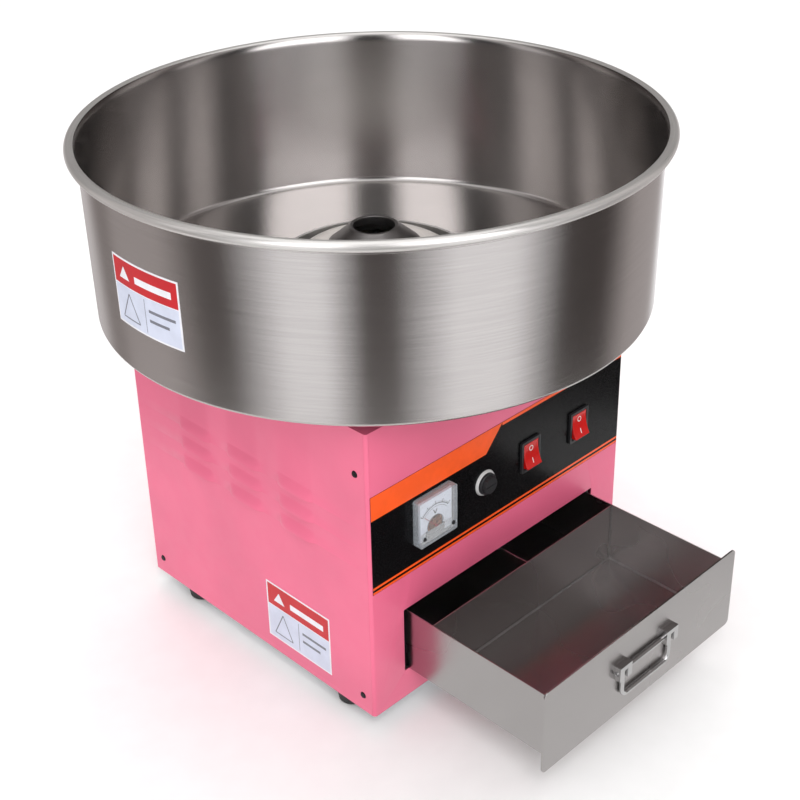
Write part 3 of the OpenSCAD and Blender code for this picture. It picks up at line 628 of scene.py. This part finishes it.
FOLD_R = 3.0
SHEET = 1.0
SEAM = 0.15
LOUVRE = {"length": 46, "height": 12, "proud": 4.2, "pitch": (68, 21), "top_row": 212}
DRAWER_OPENING = {"width": 256.4, "height": 66.6, "corner": 1.5, "middle_z": 80.1}
METER_HOLE_R = 19.4
FUSE_HOLE_R = 6.2
SWITCH_HOLE = (22, 28.5)
GLAND_HOLE_R = 8
FLANGE_DEPTH = 22
BACK_SLOT = {"width": 5, "height": 60, "pitch": 18, "each_side": 4, "above_base": 190}


def fold_strip(start_angle, centre_x, centre_y, z0, z1, ends):
    """A quarter fold of the sheet standing along Z, with the outline points that go on from its end."""
    quarter = [math.radians(start_angle + 90 * k / 8) for k in range(9)]
    outer = [(centre_x + FOLD_R * math.cos(t), centre_y + FOLD_R * math.sin(t)) for t in quarter]
    inner = [(centre_x + (FOLD_R - SHEET) * math.cos(t), centre_y + (FOLD_R - SHEET) * math.sin(t))
             for t in reversed(quarter)]
    return moved(extruded("fold", outer + ends + inner, z1 - z0), z=z0)


def front_panel():
    """The front sheet with its openings, folded back at both sides into flanges."""
    low, high = box_mm("front_panel")
    side_x = box_mm("top_deck")[1].x
    meter_at = seen_centre("meter_case")
    holes = [rectangle(DRAWER_OPENING["width"], DRAWER_OPENING["height"], DRAWER_OPENING["corner"],
                       (0, DRAWER_OPENING["middle_z"])),
             ring_points(METER_HOLE_R, 64, meter_at),
             ring_points(FUSE_HOLE_R, 32, seen_centre("fuse_holder"))]
    for frame_node in ("heat_switch_frame", "power_switch_frame"):
        holes.append(rectangle(*SWITCH_HOLE, 0.3, (seen_centre(frame_node)[0], meter_at[1])))
    flat_x = side_x - FOLD_R
    outline = rectangle(2 * flat_x, high.z - low.z, 0.01, (0, (low.z + high.z) / 2))
    face = moved(plate("face", [outline] + holes, SHEET, 0.12), y=low.y + SHEET / 2, turn=ON_FRONT)
    fold_y, flange_y = low.y + FOLD_R, low.y + FLANGE_DEPTH
    flange_x = side_x - SHEET - SEAM
    right = fold_strip(-90, flat_x, fold_y, low.z, high.z,
                       [(flange_x, fold_y), (flange_x, flange_y), (side_x - 2 * SHEET, flange_y),
                        (side_x - 2 * SHEET, fold_y)])
    piece("front_sheet", joined("front_sheet", [face, other_side(right), right]), "pink_paint", "cabinet",
          ["front_panel"])


def louvre_bulge(y, z):
    """How far the side sheet stands out at a point, for the drawn hoods of the louvres."""
    out = 0.0
    for row in range(3):
        bottom = LOUVRE["top_row"] - row * LOUVRE["pitch"][1]
        rise = (z - bottom) / LOUVRE["height"]
        if not 0 <= rise <= 1:
            continue
        for column in (-1, 0, 1):
            along = (y - column * LOUVRE["pitch"][0]) / (LOUVRE["length"] / 2)
            if abs(along) < 1:
                ends = 1 - along ** 4
                out = max(out, LOUVRE["proud"] * ends * math.cos(rise * math.pi / 2) ** 1.3)
    return out


def grid_lines(start, end, zones, fine):
    """Places along one direction: fine steps inside each zone and none between them."""
    lines = {start, end}
    for low, high in zones:
        count = round((high - low) / fine)
        lines.update(round(low + (high - low) * k / count, 4) for k in range(count + 1))
    return sorted(lines)


def side_sheet(side_x, y0, y1, z0, z1):
    """One side of the cabinet as a grid that swells into the louvres, open under each hood."""
    half = LOUVRE["length"] / 2
    y_lines = grid_lines(y0, y1, [(c * LOUVRE["pitch"][0] - half, c * LOUVRE["pitch"][0] + half)
                                  for c in (-1, 0, 1)], 1.6)
    bottoms = [LOUVRE["top_row"] - row * LOUVRE["pitch"][1] for row in range(3)]
    z_lines = grid_lines(z0, z1, [(b, b + LOUVRE["height"]) for b in bottoms], 0.8)
    lip = 0.02
    z_lines = sorted(z_lines + [b - lip for b in bottoms])
    points = [(side_x + louvre_bulge(y, z), y, z) for z in z_lines for y in y_lines]
    n = len(y_lines)
    faces = []
    for j in range(len(z_lines) - 1):
        for i in range(n - 1):
            under_hood = z_lines[j + 1] in bottoms and max(
                louvre_bulge(y_lines[i], z_lines[j + 1]), louvre_bulge(y_lines[i + 1], z_lines[j + 1])) > 0.3
            if not under_hood:
                faces.append((j * n + i, j * n + i + 1, (j + 1) * n + i + 1, (j + 1) * n + i))
    outer = bpy.data.meshes.new("side")
    outer.from_pydata([Vector(p) * MM for p in points], [], faces)
    made = bmesh.new()
    made.from_mesh(outer)
    bmesh.ops.recalc_face_normals(made, faces=made.faces)
    if made.faces[0].normal.x < 0:
        bmesh.ops.reverse_faces(made, faces=made.faces)
    bmesh.ops.solidify(made, geom=made.faces[:], thickness=SHEET * MM)
    made.to_mesh(outer)
    made.free()
    return outer


def side_wrap():
    """Both sides and the back, as one sheet folded round the two rear corners."""
    low, high = box_mm("back_panel")
    side_x = box_mm("top_deck")[1].x
    y0, y1 = box_mm("front_panel")[0].y + FOLD_R + SEAM, high.y - FOLD_R
    side = side_sheet(side_x, y0, y1, low.z, high.z)
    flat_x = side_x - FOLD_R
    outline = rectangle(2 * flat_x, high.z - low.z, 0.01, (0, (low.z + high.z) / 2))
    slots = [rectangle(BACK_SLOT["width"], BACK_SLOT["height"], 2.4,
                       (i * BACK_SLOT["pitch"], low.z + BACK_SLOT["above_base"]))
             for i in range(-BACK_SLOT["each_side"], BACK_SLOT["each_side"] + 1)]
    gland_hole = ring_points(GLAND_HOLE_R, 48, seen_centre("cord_gland"))
    back = plate("back", [outline, gland_hole] + slots, SHEET, 0.12)
    moved(back, y=high.y - SHEET / 2, turn=ON_FRONT)
    corner = fold_strip(0, flat_x, high.y - FOLD_R, low.z, high.z, [])
    whole = joined("cabinet_wrap", [side, other_side(side), back, corner, other_side(corner)])
    piece("cabinet_wrap", whole, "pink_paint", "cabinet", ["side_panels", "back_panel"])


def overlay_print():
    """The printed bands of the control panel, in orange on black."""
    low, high = box_mm("control_overlay")
    on_overlay = flat_surface(ON_FRONT, (0, low.y, 0))
    left, right, top, foot = low.x + 0.2, high.x - 0.2, high.z - 0.1, low.z + 0.3
    band_foot, band_end, band_tip = top - 23, -25, -4
    band = [((left, band_foot), (band_end, band_foot), (band_tip, top), (left, top))]
    line, pitch = 2.2, 4.6
    lines = rect(band_tip, top - 3, right, top) + rect(left, foot, right, foot + line)
    lines += rect(left, foot + pitch, right, foot + pitch + line)
    printed("overlay_bands", on_overlay, band + lines, "orange_print", "cabinet")


def label_drawing(width, height, columns):
    """A plain notice: a red heading over a pale field, with blank bars and an empty triangle."""
    edge, split = 1.6, height * 0.6
    heading = rect(edge, split, width - edge, height - edge, columns)
    field = rect(edge, edge, width - edge, split - 0.8, columns)
    lines = []
    for row, length in enumerate((1.0, 0.75)):
        v = split - 13 - row * 8.5
        lines += rect(width / 2 + 5, v, width / 2 + 5 + (width / 2 - 11) * length, v + 2.6, columns // 2)
    peak, base_l, base_r = (width / 4, split - 6), (9, 7), (width / 2 - 9, 7)
    for start, end in ((peak, base_l), (base_l, base_r), (base_r, peak)):
        lines += stroke(start, end, 1.1)
    lines += rect(width / 2 - 0.3, edge + 2, width / 2 + 0.3, split - 3)
    title = rect(width * 0.38, split + 7, width * 0.9, split + 13, columns // 2)
    title += triangle(width * 0.2, split + 6, width * 0.17, 11)
    return {"label_red": heading, "label_pale": field, "label_grey": lines, "label_white": title}


def label(name, surface, width, height, body, replaced, columns):
    """A white card with its fields printed on it and its lines printed on them."""
    card, film = 0.25, 0.05
    whole = rect(0, 0, width, height, columns)
    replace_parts(printed(name, surface, whole, "label_white", body, card), replaced)
    drawing = label_drawing(width, height, columns)
    for key, base in (("label_red", card), ("label_pale", card), ("label_grey", card + film),
                      ("label_white", card + film)):
        colour = key.removeprefix("label_")
        printed(f"{name}_{colour}", surface, drawing[key], key, body, film, base)


def labels():
    low, high = box_mm("side_label")
    label("side_notice", flat_surface(ON_LEFT, (high.x, high.y, low.z)), high.y - low.y, high.z - low.z,
          "cabinet", "side_label", 4)
    low, high = box_mm("bowl_label")
    middle = (low.z + high.z) / 2
    middle_r = wall_radius(middle)
    half_width = middle_r * math.asin(high.y / middle_r)

    def on_bowl(u, v, height):
        z = low.z + v
        turn = math.pi + (u - half_width) / middle_r
        out = wall_radius(z) + 0.02 + height
        return Vector((out * math.cos(turn), out * math.sin(turn), z))
    label("bowl_notice", on_bowl, 2 * half_width, high.z - low.z, "bowl", "bowl_label", 24)


# ---- Controls ----

ROCKER_OFF = math.radians(-12)
KEY_REACH = 12
KEY_WIDTH = 19.6


def key_face(v):
    """How far a rocker's hollow face stands out at a height above its middle."""
    return 3.2 + 1.9 * (v / KEY_REACH) ** 2


def rocker(name, body):
    """A rocker with a hollow face, and a circle and a bar on its two halves."""
    x, z = seen_centre(name)[0], seen_centre(name.replace("rocker", "switch_frame"))[1]
    centre = Vector((x, box_mm("front_panel")[0].y, z))
    heights = [KEY_REACH * k / 8 for k in range(-8, 9)]
    back = [(3, KEY_REACH - 1.4), (6, 4), (6, -4), (3, 1.4 - KEY_REACH)]
    outline = [(-key_face(v), v) for v in heights] + back
    turn = Matrix.Rotation(ROCKER_OFF, 3, "X")
    stand = Matrix(((0, 0, 1), (1, 0, 0), (0, 1, 0)))
    mesh = extruded(name + "_key", outline, KEY_WIDTH)
    moved(mesh, z=-KEY_WIDTH / 2)
    moved(mesh, *centre, turn=turn @ stand)
    made = piece(name + "_key", mesh, "red_rocker", body, [name])
    soften(made, 0.45, 3, 50)

    def on_key(u, v, height):
        return turn @ Vector((u, -key_face(v) - height, v)) + centre
    marks = arc((0, 6), 2.3, 0.7, 0, 360) + stroke((0, -8.4), (0, -3.6), 0.8)
    printed(name + "_marks", on_key, marks, "mark_white", body, 0.05)


SCALE = {"radius": 20.5, "from": 42, "sweep": 96, "ticks": 20, "inner": 2.2, "below_middle": 10}


def voltmeter_dial():
    """The dial's scale with its ticks and its volt mark, and a line round the movement's window."""
    x, middle_z = seen_centre("meter_case")
    on_dial = flat_surface(ON_FRONT, (x, box_mm("meter_dial")[0].y, middle_z - SCALE["below_middle"]))
    radius, start, end = SCALE["radius"], SCALE["from"], SCALE["from"] + SCALE["sweep"]
    scale = arc((0, 0), radius, 0.7, start, end, 40)
    scale += arc((0, 0), radius - SCALE["inner"], 0.35, start, end, 40)
    for k in range(SCALE["ticks"] + 1):
        angle = math.radians(start + SCALE["sweep"] * k / SCALE["ticks"])
        ray = Vector((math.cos(angle), math.sin(angle)))
        length, width = (3.4, 0.75) if k % 5 == 0 else (1.9, 0.42)
        scale += stroke(ray * radius, ray * (radius + length), width)
    unit = stroke((-2.1, 15.8), (0, 11.4), 0.95) + stroke((2.1, 15.8), (0, 11.4), 0.95)
    printed("dial_scale", on_dial, scale + unit, "print_black", "cabinet", 0.03)
    window = arc((0, 0), 9.9, 0.5, 0, 180, 24)
    printed("dial_rim", on_dial, window, "print_black", "cabinet", 0.03)


def fuse_collar():
    """The black collar that the fuse's cap sits in, on the white ring of the holder."""
    x, z = seen_centre("fuse_holder")
    collar = lathed("collar", [(8.9, -0.6), (10.6, -0.6), (10.2, 3.0), (9.8, 3.4), (8.9, 3.4)], 64)
    moved(collar, x, box_mm("control_overlay")[0].y - 0.9, z, ON_FRONT)
    piece("fuse_collar", collar, "black_plastic", "cabinet")


def voltmeter_cover():
    """The clear cover's two screws, its bright edge and the frosted strip along its foot."""
    front_y = box_mm("meter_cover")[0].y
    x, cover_z = seen_centre("meter_cover")
    dial_z = seen_centre("meter_case")[1] - SCALE["below_middle"]
    for name, side in (("meter_screw_left", -1), ("meter_screw_right", 1)):
        head = lathed(name, [(0.4, 0), (1.9, 0), (1.9, 0.5), (1.5, 0.9), (0.4, 0.9)], 32)
        moved(head, x + side * 17.4, front_y, dial_z - 4.4, ON_FRONT)
        piece(name, head, "print_black", "cabinet")
    edge = plate("edge", [rectangle(45.2, 45.2, 2.1), rectangle(44.2, 44.2, 1.6)], 8.4, 0.2)
    moved(edge, x, front_y + 4.3, cover_z, ON_FRONT)
    piece("meter_cover_edge", edge, "pale_acrylic", "cabinet")
    frost = plate("frost", [rectangle(39, 10.5, 0.5)], 0.5, 0.1)
    moved(frost, x, front_y + 2.1, dial_z - 5.6, ON_FRONT)
    piece("meter_frosting", frost, "frosted_acrylic", "cabinet")


# ---- Drawer ----

def weld_seams():
    """Thin weld beads down the inside corners of the drawer's front compartment and round its floor."""
    low, high = box_mm("drawer_tray")
    back = box_mm("drawer_partition")[0].y
    x, floor, front = high.x - SHEET, low.z + SHEET, low.y + SHEET
    bead = [(-0.2, -0.2), (1.5, -0.2), (1.5, 0.15), (0.75, 0.75), (0.15, 1.5), (-0.2, 1.5)]
    seams = []
    for side in (-1, 1):
        for y, into in ((front, 1), (back, -1)):
            outline = [(side * (x - a), y + into * b) for a, b in bead]
            seams.append(moved(extruded("bead", outline, high.z - floor - 1), z=floor))
        along_y = Matrix(((1, 0, 0), (0, 0, 1), (0, 1, 0)))
        outline = [(side * (x - a), floor + b) for a, b in bead]
        seams.append(moved(extruded("bead", outline, back - front), y=front, turn=along_y))
    along_x = Matrix(((0, 0, 1), (1, 0, 0), (0, 1, 0)))
    for y, into in ((front, 1), (back, -1)):
        outline = [(y + into * a, floor + b) for a, b in bead]
        seams.append(moved(extruded("bead", outline, 2 * x), x=-x, turn=along_x))
    for mesh in seams:
        finish_mesh(mesh)
    piece("tray_welds", joined("tray_welds", seams), "weld_steel", "drawer")


bowl()
sugar_funnel()
spinner_dome()
front_panel()
side_wrap()
overlay_print()
labels()
rocker("heat_rocker", "heat_rocker")
rocker("power_rocker", "power_rocker")
voltmeter_dial()
fuse_collar()
voltmeter_cover()
weld_seams()

# How far the sharp edges of these CAD nodes are rounded, in millimetres.
EDGES = {"top_deck": 0.4, "drawer_tray": 0.25, "drawer_front": 0.4, "drawer_partition": 0.25,
         "handle_lugs": 0.6, "heat_switch_frame": 0.5, "power_switch_frame": 0.5,
         "meter_cover": 0.5, "fuse_cap": 0.3, "fuse_holder": 0.3, "cord_gland": 0.4}
for cad_name, width in EDGES.items():
    soften(frame["nodes"][cad_name], width)


# ---- Studio ----

FLOOR_REACH = 6.0
PAPER = (0.93, 0.93, 0.93, 1)
PAPER_LIGHT = (0.95, 0.95, 0.95, 1)
CARD_R = 0.54  # the part of the floor that shiny surfaces see

CAMERA = {"azimuth": -43.69, "elevation": 28.16, "roll": -1.68, "distance": 1.3498,
          "look_at_side": 0.0008, "look_at_z": 0.2689, "lens": 65.67, "shift": (0.0272, -0.0767)}

# The lights and flags round the studio, as they show round the bowl: (from, to, screen brightness) in
# degrees round its wall from the camera's side. Low ones show on its outside and high ones inside it.
# They were chosen and rounded from the brightness that the photo shows round the bowl.
LOW_BANDS = [(-86, -68, 165), (-62, -58, 112), (-54, -41, 140), (-32, -27, 66), (-16, -9, 200), (-2, 3, 62),
             (14, 25, 206), (35, 46, 56), (55, 68, 142), (75, 82, 232)]
HIGH_BANDS = [(-88, -66, 40), (-60, -54, 96), (-50, -47, 40), (-41, -36, 140), (-32, -24, 2), (-20, -9, 255),
              (-4, 3, 1), (8, 26, 255), (29, 37, 3), (41, 45, 132), (48, 51, 50), (56, 60, 110), (70, 88, 40)]
STEEL_REFLECTS = 0.58
SKY = 1.0
OVERHEAD = 1.25

# The heights of a direction, from -1 to 1, where the low bands give way to the high ones and where
# those give way to the light overhead.
LOW_TO_HIGH = (-0.15, 0.1)
HIGH_TO_OVERHEAD = (0.8, 0.92)


def mirrored(round_wall, side):
    """The azimuth that the wall shows at an angle round it. Side is 1 outside the bowl and -1 inside."""
    wall_r, away = 0.25, CAMERA["distance"] * math.cos(math.radians(CAMERA["elevation"]))
    turn = math.radians(round_wall)
    shift = math.atan2(wall_r * math.sin(turn), away - wall_r * side * math.cos(turn))
    return 2 * round_wall + side * math.degrees(shift)


def band_ramp(tree, along, bands, side, bounces):
    """A ramp round the compass from the camera's side, with level bands and soft changes between."""
    ramp = node(tree, "ValToRGB", {"Fac": along})
    stops = ramp.color_ramp.elements
    while len(stops) > 1:
        stops.remove(stops[0])
    for i, (start, end, screen) in enumerate(bands):
        level = srgb(screen, screen, screen)[0] / STEEL_REFLECTS ** bounces
        white = min(level, 1)
        colour = (level, level * (0.85 + 0.14 * white), level * (0.81 + 0.20 * white), 1)
        for j, edge in enumerate((start, end)):
            position = 0.5 + mirrored(edge, side) / 360
            stop = stops.new(position) if i + j else stops[0]
            stop.position = position
            stop.color = colour
    return ramp.outputs["Color"]


def ramp_between(tree, value, limits):
    """0 to 1 as the value goes between two limits."""
    return node(tree, "MapRange", {"Value": value, "From Min": limits[0], "From Max": limits[1]}).outputs[0]


def studio_world():
    """White to the camera, soft white to matt surfaces, and bands of light to shiny ones."""
    world = bpy.data.worlds.new("studio")
    bpy.context.scene.world = world
    world.use_nodes = True
    world.cycles.sampling_method = "NONE"
    tree = world.node_tree
    tree.nodes.clear()
    direction = node(tree, "TexCoord").outputs["Generated"]
    turned = node(tree, "VectorRotate", {"Vector": direction, "Angle": -math.radians(CAMERA["azimuth"] - 90)},
                  rotation_type="Z_AXIS").outputs[0]
    split = node(tree, "SeparateXYZ", {0: turned}).outputs
    turn = math_node(tree, "ARCTAN2", split["Y"], split["X"])
    along = math_node(tree, "ADD", math_node(tree, "DIVIDE", turn, 2 * math.pi), 0.5)
    low = band_ramp(tree, along, LOW_BANDS, 1, 1)
    high = band_ramp(tree, along, HIGH_BANDS, -1, 2)
    bands = mix_colour(tree, ramp_between(tree, split["Z"], LOW_TO_HIGH), low, high)
    overhead = ramp_between(tree, split["Z"], HIGH_TO_OVERHEAD)
    colour = mix_colour(tree, overhead, bands, (OVERHEAD, OVERHEAD, OVERHEAD, 1))
    shown = node(tree, "Background", {"Color": colour, "Strength": 1.0}).outputs[0]
    soft = node(tree, "Background", {"Color": (1, 0.99, 0.985, 1), "Strength": SKY}).outputs[0]
    white = node(tree, "Background", {"Color": (1, 1, 1, 1), "Strength": 1.0}).outputs[0]
    rays = node(tree, "LightPath").outputs
    shiny = math_node(tree, "MAXIMUM", rays["Is Glossy Ray"], rays["Is Transmission Ray"])
    matt = node(tree, "MixShader", {0: shiny, 1: soft, 2: shown}).outputs[0]
    seen = node(tree, "MixShader", {0: rays["Is Camera Ray"], 1: matt, 2: white}).outputs[0]
    node(tree, "OutputWorld", {"Surface": seen})


def area_light(name, place_at, target, size, power):
    """A round light in metres and watts that shiny surfaces don't see."""
    data = bpy.data.lights.new(name, "AREA")
    data.shape = "DISK"
    data.size = size
    data.energy = power
    light = bpy.data.objects.new(name, data)
    bpy.context.scene.collection.objects.link(light)
    light.location = place_at
    light.rotation_euler = (Vector(place_at) - Vector(target)).to_track_quat("Z", "Y").to_euler()
    light.visible_glossy = False


def studio_floor():
    """White paper, and a smaller card on it that only shiny surfaces see."""
    material, tree, shader = new_material("paper_white", PAPER, 0.9)
    vary_colour(tree, shader, noise(tree, place(tree), 30, 3), PAPER, PAPER_LIGHT)
    mesh = bpy.data.meshes.new("floor")
    corners = [(-1, -1), (1, -1), (1, 1), (-1, 1)]
    mesh.from_pydata([(x * FLOOR_REACH, y * FLOOR_REACH, 0) for x, y in corners], [], [(0, 1, 2, 3)])
    floor = bpy.data.objects.new("floor", mesh)
    floor.visible_glossy = False
    disc = [(1, -2), (CARD_R / MM, -2), (CARD_R / MM, -1), (1, -1)]
    card = bpy.data.objects.new("floor_card", lathed("floor_card", disc, 96))
    card.visible_camera = card.visible_diffuse = card.visible_shadow = False
    for sheet in (floor, card):
        sheet.data.materials.append(material)
        bpy.context.scene.collection.objects.link(sheet)


def studio_camera():
    """The camera, placed to match the photo's, looking at a point near the machine's middle."""
    azimuth, elevation, roll = (math.radians(CAMERA[k]) for k in ("azimuth", "elevation", "roll"))
    back = Vector((math.sin(azimuth) * math.cos(elevation), -math.cos(azimuth) * math.cos(elevation),
                   math.sin(elevation)))
    level = Vector((math.cos(azimuth), math.sin(azimuth), 0))
    upward = back.cross(level)
    right = math.cos(roll) * level + math.sin(roll) * upward
    up = math.cos(roll) * upward - math.sin(roll) * level
    target = Vector((0, 0, CAMERA["look_at_z"])) + level * CAMERA["look_at_side"]
    data = bpy.data.cameras.new("camera")
    data.sensor_width = 36
    data.lens = CAMERA["lens"]
    data.shift_x, data.shift_y = CAMERA["shift"]
    camera = bpy.data.objects.new("camera", data)
    bpy.context.scene.collection.objects.link(camera)
    turn = Matrix((right, up, back)).transposed().to_4x4()
    camera.matrix_world = Matrix.Translation(target + back * CAMERA["distance"]) @ turn
    bpy.context.scene.camera = camera


studio_camera()
studio_world()
studio_floor()
area_light("key", (-1.2, -1.6, 2.2), (0, 0, 0.2), 1.2, 22)
area_light("top", (0.5, 0.8, 2.6), (0, 0, 0.2), 1.6, 14)
bpy.context.scene.view_settings.view_transform = "Standard"
